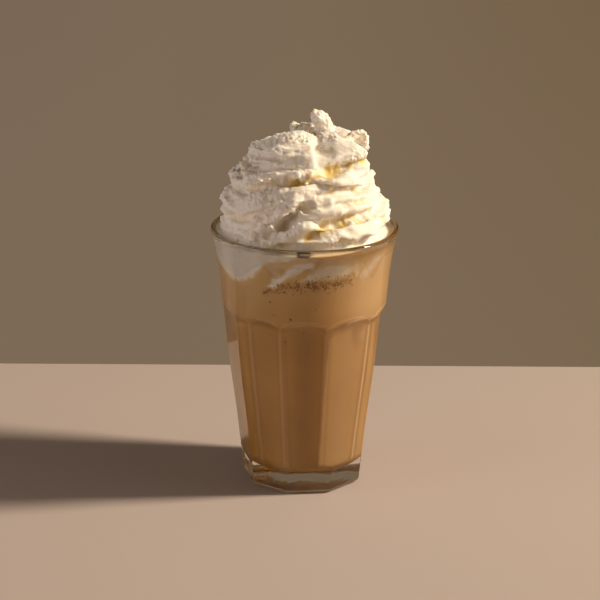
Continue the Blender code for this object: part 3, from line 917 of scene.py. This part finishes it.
def outline_distance(across, up, outline):
    """Distance in metres to an outline through (azimuth, height), below zero inside it."""
    x = np.array([math.radians(a) * inner_radius(112 * MM) for a, _ in outline])
    y = np.array([height * MM for _, height in outline])
    nearest = np.full(len(across), 1.0)
    inside = np.zeros(len(across), bool)
    for x0, y0, x1, y1 in zip(x, y, np.roll(x, -1), np.roll(y, -1)):
        dx, dy = x1 - x0, y1 - y0
        t = np.clip(((across - x0) * dx + (up - y0) * dy) / (dx * dx + dy * dy), 0, 1)
        nearest = np.minimum(nearest, np.hypot(across - x0 - t * dx, up - y0 - t * dy))
        if dy:
            crosses = (y0 > up) != (y1 > up)
            inside ^= crosses & (across < x0 + (up - y0) / dy * dx)
    return np.where(inside, -nearest, nearest)


def uneven(points, size, seed=0.0):
    """Noise at each point, from about -1 to 1."""
    shift = Vector((seed, 2 * seed, 3 * seed))
    return np.array([noise.noise(Vector(point) / size + shift) for point in points])


def wall_paint(azimuth, points):
    """How creamy and how amber the wall looks at each point."""
    across = np.radians(azimuth) * inner_radius(112 * MM)
    wander = 1.3 * MM * uneven(points, 5 * MM, 4.0) + 0.8 * MM * uneven(points, 2.2 * MM, 5.0)
    up = points[:, 2] + wander + 0.5 * MM * uneven(points, 0.9 * MM, 6.0)
    across = across + 0.9 * MM * uneven(points, 2.4 * MM, 7.0)
    blur = np.clip(1.0 + 1.8 * uneven(points, 4 * MM, 3.0), 0.4, 2.5)
    contact = np.array([wall_contact(a) for a in azimuth])
    behind = np.abs(azimuth) > 92
    thick = np.where(behind, np.maximum(contact - up, 0.4 * MM * uneven(points, 9 * MM, 8.0)), 1.0)
    cream = 0.8 * np.clip(0.5 - thick / (1.3 * MM), 0, 1)
    for strength, softness, outline in WALL_CREAM:
        away = outline_distance(across, up, outline)
        cream = np.maximum(cream, strength * np.clip(0.5 - away / (softness * MM * blur), 0, 1) * ~behind)
        if strength > THICK_CREAM:
            thick = np.where(behind, thick, np.minimum(thick, away))
    cream *= np.clip(1.05 + 0.35 * uneven(points, 3 * MM, 10.0), 0, 1)
    film = bell(np.maximum(thick, 0), 0, AMBER_BAND) * (points[:, 2] > 103 * MM)
    film *= np.clip(0.55 + 1.1 * uneven(points, 4 * MM, 9.0), 0.0, 1)
    return cream, film


def folds_all_round():
    """The folds seen in front, and seeded ones like them at the sides and behind."""
    draws = random.Random(FOLD_SEED)
    folds = list(FOLDS)
    for _ in range(MORE_FOLDS):
        azimuth = draws.uniform(80, 285)
        height = draws.uniform(124, 166)
        slope = draws.uniform(-0.12, 0.2)
        points = []
        for _ in range(draws.randint(3, 5)):
            points.append((azimuth, height))
            azimuth += draws.uniform(9, 16)
            height += 12 * slope + draws.uniform(-1.2, 1.2)
        width = draws.uniform(0.7, 2.0)
        folds.append((width, 1.5 * width, draws.choice((0.0, 0.0, 0.5, 1.0)), LOWER_LIP, points))
    return folds


def fold_relief(azimuth, points):
    """Height of the skin over its plain form from the folds, and the painted warm shade in them."""
    reach = 33 * MM
    relief = np.zeros(len(points))
    crease_shade = np.zeros(len(points))
    wander = 0.7 * MM * uneven(points, 5 * MM, 12.0) + 0.35 * MM * uneven(points, 1.8 * MM, 13.0)
    patchy = np.clip(0.5 + 1.6 * uneven(points, 5 * MM, 14.0), 0, 1)
    for width, depth, shade_amount, lower, line in folds_all_round():
        middle = line[len(line) // 2][0]
        turned = (azimuth - middle + 180) % 360 - 180
        near = np.abs(turned) < 100
        x, y = np.radians(turned[near]) * reach, points[near, 2] + wander[near]
        nearest = np.full(len(x), 1.0)
        share = np.zeros(len(x))
        side = np.zeros(len(x))
        for i, ((a0, z0), (a1, z1)) in enumerate(zip(line, line[1:])):
            x0, x1 = math.radians(a0 - middle) * reach, math.radians(a1 - middle) * reach
            dx, dy = x1 - x0, (z1 - z0) * MM
            t = np.clip(((x - x0) * dx + (y - z0 * MM) * dy) / (dx * dx + dy * dy), 0, 1)
            ox, oy = x - x0 - t * dx, y - z0 * MM - t * dy
            distance = np.hypot(ox, oy)
            closer = distance < nearest
            nearest = np.where(closer, distance, nearest)
            share = np.where(closer, (i + t) / (len(line) - 1), share)
            side = np.where(closer, np.sign(dx * oy - dy * ox), side)
        taper = np.sqrt(np.clip(np.sin(math.pi * np.clip(share, 0.02, 0.98)), 0, 1))
        d = nearest / (width * MM)
        lip = bell(d, 1.9, 1.2) * np.where(side > 0, 1.0, lower)
        relief[near] += depth * MM * taper * (LIP_SHARE * lip - bell(d, 0, 1))
        # painted warm shade along each fold's crease
        crease_shade[near] = np.maximum(crease_shade[near], shade_amount * taper * bell(d, 0, 0.9) * patchy[near])
    return relief, crease_shade


def flake_points():
    """Small torn flakes that stand up from the coil's crests, each as points of a strand."""
    draws = random.Random(FLAKE_SEED)
    for _ in range(FLAKES):
        azimuth = draws.choice((draws.uniform(-100, 5), draws.uniform(-100, 5), draws.uniform(100, 260)))
        turn = azimuth / 360 + draws.choice((0, 1, 1, 2, 2, 3))
        if not 0 < turn < COIL_END - 0.4:
            continue
        radius, level = rope_middle(turn)
        width, height = rope_size(turn)
        lean = draws.uniform(20, 75)
        reach = 1.02 + draws.uniform(-0.06, 0.08)
        out = radius + width * reach * math.cos(math.radians(lean))
        up = level + height * reach * math.sin(math.radians(lean))
        size = draws.uniform(0.7, 1.2)
        length = draws.uniform(1.4, 3.0) * MM
        way = place(azimuth + draws.choice((-50, 50)), 0.8, draws.uniform(0.2, 1.0)).normalized() * length
        start = place(azimuth, out - 1.0 * MM, up - 0.8 * MM)
        points = [start, start + way, start + 1.8 * way + place(azimuth, 0.4 * MM, 0.3 * MM)]
        yield [(*(point / MM), size * taper) for point, taper in zip(points, (1.3, 1.0, 0.5))]


def make_cream():
    """All the cream as one skin."""
    noise.seed_set(TEAR_SEED)
    meshes = [core_mesh()] + list(rope_meshes())
    meshes += [strand_mesh(name, points) for name, points in STRANDS.items()]
    meshes += [strand_mesh("flake", points) for points in flake_points()]
    for x, y, height, size in CRUMBS:
        meshes.append(strand_mesh("crumb", [(x - 0.8, y, height - 0.6, size), (x, y, height, 0.9 * size)]))
    data = fused(meshes, CREAM_VOXEL)
    skin = Skin(data)
    skin.points = skin.averaged(skin.points, 2)
    x, y, z = skin.points.T / MM
    calm = [bell(x, across, wide) * bell(z, up, high) for across, wide, up, high in SOFTENED]
    calm = np.maximum(*calm) * (y < -1)
    skin.points += calm[:, None] * (skin.averaged(skin.points, 34) - skin.points)
    thick = np.clip(1.5 + skin.hollowness(40) / (1.6 * MM), 0.0, 1.0)
    azimuth, points = skin.around()
    x, y, z = points.T
    above = rise(z, 120.5 * MM, 122.5 * MM)
    relief, crease_shade = fold_relief(azimuth, points)
    wide_normals = skin.averaged(skin.normals(), 6)
    wide_normals /= np.linalg.norm(wide_normals, axis=1)[:, None]
    rough = np.clip(0.45 - azimuth / 80 + 1.1 * uneven(points, 12 * MM, 20.0), 0.05, 1)
    rough = np.where(np.abs(azimuth) > 110, 0.6, rough)
    rough = np.where((z > 167.5 * MM) & (x < 14.5 * MM), 0.9, rough)
    rough = np.where((z > 159 * MM) & (x > 21 * MM), 0.8, rough)
    rough += 0.6 * bell(azimuth, -12, 20) * bell(z, 143 * MM, 9 * MM)
    puffs = 1.0 - 2.2 * np.sqrt(uneven(points, 7.5 * MM, 21.0) ** 2 + 0.01)
    small = 1.0 - 2.2 * np.sqrt(uneven(points, 2.6 * MM, 22.0) ** 2 + 0.01)
    crumbs = uneven(points, 1.1 * MM, 23.0)
    lift = relief + MM * (0.6 * puffs + 0.4 * rough * small + 0.5 * rough * crumbs - 0.75)
    skin.points = points + wide_normals * (lift * above * thick)[:, None]
    jagged = skin.hollowness(12)
    torn = np.clip(-jagged / (0.35 * MM), 0, 1) * rough
    skin.points += skin.normals() * (0.8 * MM * torn * above * uneven(points, 0.9 * MM, 24.0))[:, None]
    radius = np.hypot(skin.points[:, 0], skin.points[:, 1])
    low = skin.points[:, 2] < BEAD_HEIGHT
    wall = np.array([inner_radius(z, -INTO_WALL) if near else 1.0 for z, near in zip(skin.points[:, 2], low)])
    touching = low & (radius > wall - 0.5 * MM)
    skin.points[touching, :2] *= (wall / radius)[touching, None]
    azimuth, points = skin.around()
    cream, film = wall_paint(azimuth, points)
    edge = 122.5 * MM + 0.6 * MM * uneven(points, 3 * MM, 25.0)
    at_wall = rise(points[:, 2], edge, edge - 0.5 * MM) * rise(radius, wall - 2.2 * MM, wall - 1.0 * MM)
    across = np.radians(azimuth) * inner_radius(112 * MM)
    # painted shade of the gap between the cream and the glass under the front rim
    notch = np.clip(0.5 - outline_distance(across, points[:, 2], NOTCH) / (0.4 * MM), 0, 1)
    # painted warm shade in the creases
    skin.keep("crease_shade", crease_shade * above)
    skin.keep("amber", film * (1 - cream) * at_wall)
    skin.keep("coffee", (1 - film) * (1 - cream) * at_wall)
    skin.keep("dark", notch * (radius > wall - 1.5 * MM))
    skin.store()
    data.shade_smooth()
    data.name = "whipped_swirl"
    return add_piece("whipped_swirl", data, cream_finish())


def make_bubbles():
    """Small bubbles between the drink and the wall."""
    draws = random.Random(BUBBLE_SEED)
    band = [(a, (height, spread)) for a, height, spread in BUBBLE_BAND]
    spots = [(a, height * MM, radius * MM) for a, height, radius in LONE_BUBBLES]
    while len(spots) < BUBBLES:
        azimuth = draws.triangular(band[0][0], band[-1][0], 12)
        height = along([(a, h) for a, (h, _) in band], azimuth) + draws.gauss(0, 1) * along(
            [(a, s) for a, (_, s) in band], azimuth
        )
        radius = 0.09 + 0.34 * draws.random() ** 5
        if noise.noise(place(azimuth, 38 * MM, height * MM) / (2.2 * MM)) > draws.uniform(-0.6, 0.4):
            spots.append((azimuth, height * MM, radius * MM))
    mesh = bmesh.new()
    for azimuth, height, radius in spots:
        wall = inner_radius(height, -2 * INTO_WALL)
        middle = place(azimuth, wall, height)
        out = place(azimuth, 1.0, 0.0)
        side = Vector((0, 0, 1)).cross(out)
        stretch = draws.uniform(0.8, 1.2)
        rings = []
        for share, depth in ((1.0, 0.0), (0.75, 0.12), (0.35, 0.18)):
            ring = []
            for i in range(10):
                angle = 2 * math.pi * i / 10
                flat = side * math.cos(angle) * stretch + Vector((0, 0, math.sin(angle)))
                ring.append(mesh.verts.new(middle + flat * radius * share + out * radius * depth))
            rings.append(ring)
        back = mesh.verts.new(middle - out * radius * 0.3)
        front = mesh.verts.new(middle + out * radius * 0.2)
        for i in range(10):
            mesh.faces.new((rings[0][i - 1], rings[0][i], back))
            mesh.faces.new((rings[2][i], rings[2][i - 1], front))
            for low, high in zip(rings, rings[1:]):
                mesh.faces.new((low[i - 1], high[i - 1], high[i], low[i]))
    data = bpy.data.meshes.new("fine_bubbles")
    bmesh.ops.recalc_face_normals(mesh, faces=mesh.faces)
    mesh.to_mesh(data)
    mesh.free()
    data.shade_smooth()
    return add_piece("fine_bubbles", data, bubble_finish())


def bubble_finish():
    """Dark brown painted shade inside the bubbles, a little different from bubble to bubble."""
    finish = Finish("bubble_shade", Roughness=0.6, Specular_IOR_Level=0.1)
    tones = finish.in_space("ShaderNodeTexNoise", Scale=400.0, Detail=0.0)["Fac"]
    # painted shade inside the bubbles
    colours = finish.ramp(tones, [(0.35, (0.26, 0.11, 0.025)), (0.65, (0.50, 0.26, 0.08))])
    finish.into("Base Color", colours)
    return finish.made


def backdrop_finish():
    """An evenly lit taupe ground, a little yellower to the right."""
    finish = Finish("backdrop", Emission_Strength=0.95, Specular_IOR_Level=0.0)
    finish.shader.inputs["Base Color"].default_value = (0.012, 0.01, 0.008, 1.0)
    across = finish.spread(finish.in_space("ShaderNodeSeparateXYZ")["X"], -0.35, 0.35)
    finish.into("Emission Color", finish.ramp(across, BACKDROP_TONES))
    return finish.made


def make_stage():
    """A pale floor and, past its far edge, a darker ground."""
    floor = Finish("floor", Roughness=0.7, Specular_IOR_Level=0.2)
    floor.shader.inputs["Base Color"].default_value = (*FLOOR, 1.0)
    stages = (("floor", -3.0, FLOOR_EDGE, floor.made), ("backdrop", FLOOR_EDGE, 6.0, backdrop_finish()))
    for name, near, far, finish in stages:
        data = bpy.data.meshes.new(name)
        corners = [(-3, near), (3, near), (3, far), (-3, far)]
        data.from_pydata([(x, y, FLOOR_LEVEL) for x, y in corners], [], [(0, 1, 2, 3)])
        add_piece(name, data, finish)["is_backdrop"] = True


def make_camera():
    right = Vector((1, 0, 0))
    back = Vector((0, -math.cos(CAMERA_PITCH), math.sin(CAMERA_PITCH)))
    up = Vector((0, math.sin(CAMERA_PITCH), math.cos(CAMERA_PITCH)))
    lens = bpy.data.cameras.new("camera")
    lens.lens = LENS
    lens.sensor_width = SENSOR
    lens.clip_start = 0.01
    camera = bpy.data.objects.new("camera", lens)
    where = CAMERA_AIM + back * CAMERA_DISTANCE - right * CAMERA_LEFT + up * CAMERA_UP
    turn = Matrix((right, up, back)).transposed().to_4x4()
    camera.matrix_world = Matrix.Translation(where) @ turn @ Matrix.Rotation(CAMERA_ROLL, 4, "Z")
    bpy.context.scene.collection.objects.link(camera)
    bpy.context.scene.camera = camera


def add_lamp(name, shape, spot, sides, energy, colour):
    """A soft lamp at this spot that faces the drink."""
    lamp = bpy.data.objects.new(name, bpy.data.lights.new(name, "AREA"))
    lamp.data.shape = shape
    lamp.data.size, lamp.data.size_y = sides
    lamp.data.energy = energy
    lamp.data.color = colour
    way = Vector(spot) - LAMP_AIM
    lamp.matrix_world = Matrix.Translation(Vector(spot)) @ way.to_track_quat("Z", "Y").to_matrix().to_4x4()
    bpy.context.scene.collection.objects.link(lamp)
    return lamp.data


def make_lights():
    """A warm key from the right, soft light from both sides and a dim warm room."""
    key = add_lamp("key", "DISK", KEY_PLACE, (KEY_WIDTH, KEY_WIDTH), 12.0, (1.0, 0.845, 0.655))
    key.cycles.is_caustics_light = True
    key.use_nodes = True
    even = key.node_tree.nodes.new("ShaderNodeLightFalloff")
    even.inputs["Strength"].default_value = 1.2
    key.node_tree.links.new(even.outputs["Constant"], key.node_tree.nodes["Emission"].inputs["Strength"])
    add_lamp("fill", "RECTANGLE", (-1.1, -0.35, 0.28), (0.8, 0.6), 3.9, (1.0, 0.91, 0.93))
    add_lamp("veil", "RECTANGLE", (2.4, -0.5, 0.5), (1.2, 1.2), 11.0, (1.0, 0.88, 0.78))
    world = bpy.data.worlds.new("room")
    bpy.context.scene.world = world
    world.use_nodes = True
    world.node_tree.nodes["Background"].inputs["Color"].default_value = (0.28, 0.20, 0.125, 1.0)
    world.node_tree.nodes["Background"].inputs["Strength"].default_value = 0.5
    bpy.context.scene.view_settings.view_transform = "Standard"


noise.seed_set(TEAR_SEED)
glass = make_glass()
glass.cycles.is_caustics_caster = True
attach(glass, "root")
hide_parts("glass")
coffee = make_coffee()
coffee.cycles.is_caustics_receiver = True
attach(coffee, "root")
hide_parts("coffee")
bubbles = make_bubbles()
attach(bubbles, "root")
cream = make_cream()
cream.cycles.is_caustics_receiver = True
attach(cream, "root")
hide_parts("cream")
make_stage()
make_camera()
make_lights()

boxes = {"cad": cad_box, "visual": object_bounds()}
{name: [list(corner) for corner in box] for name, box in boxes.items()}
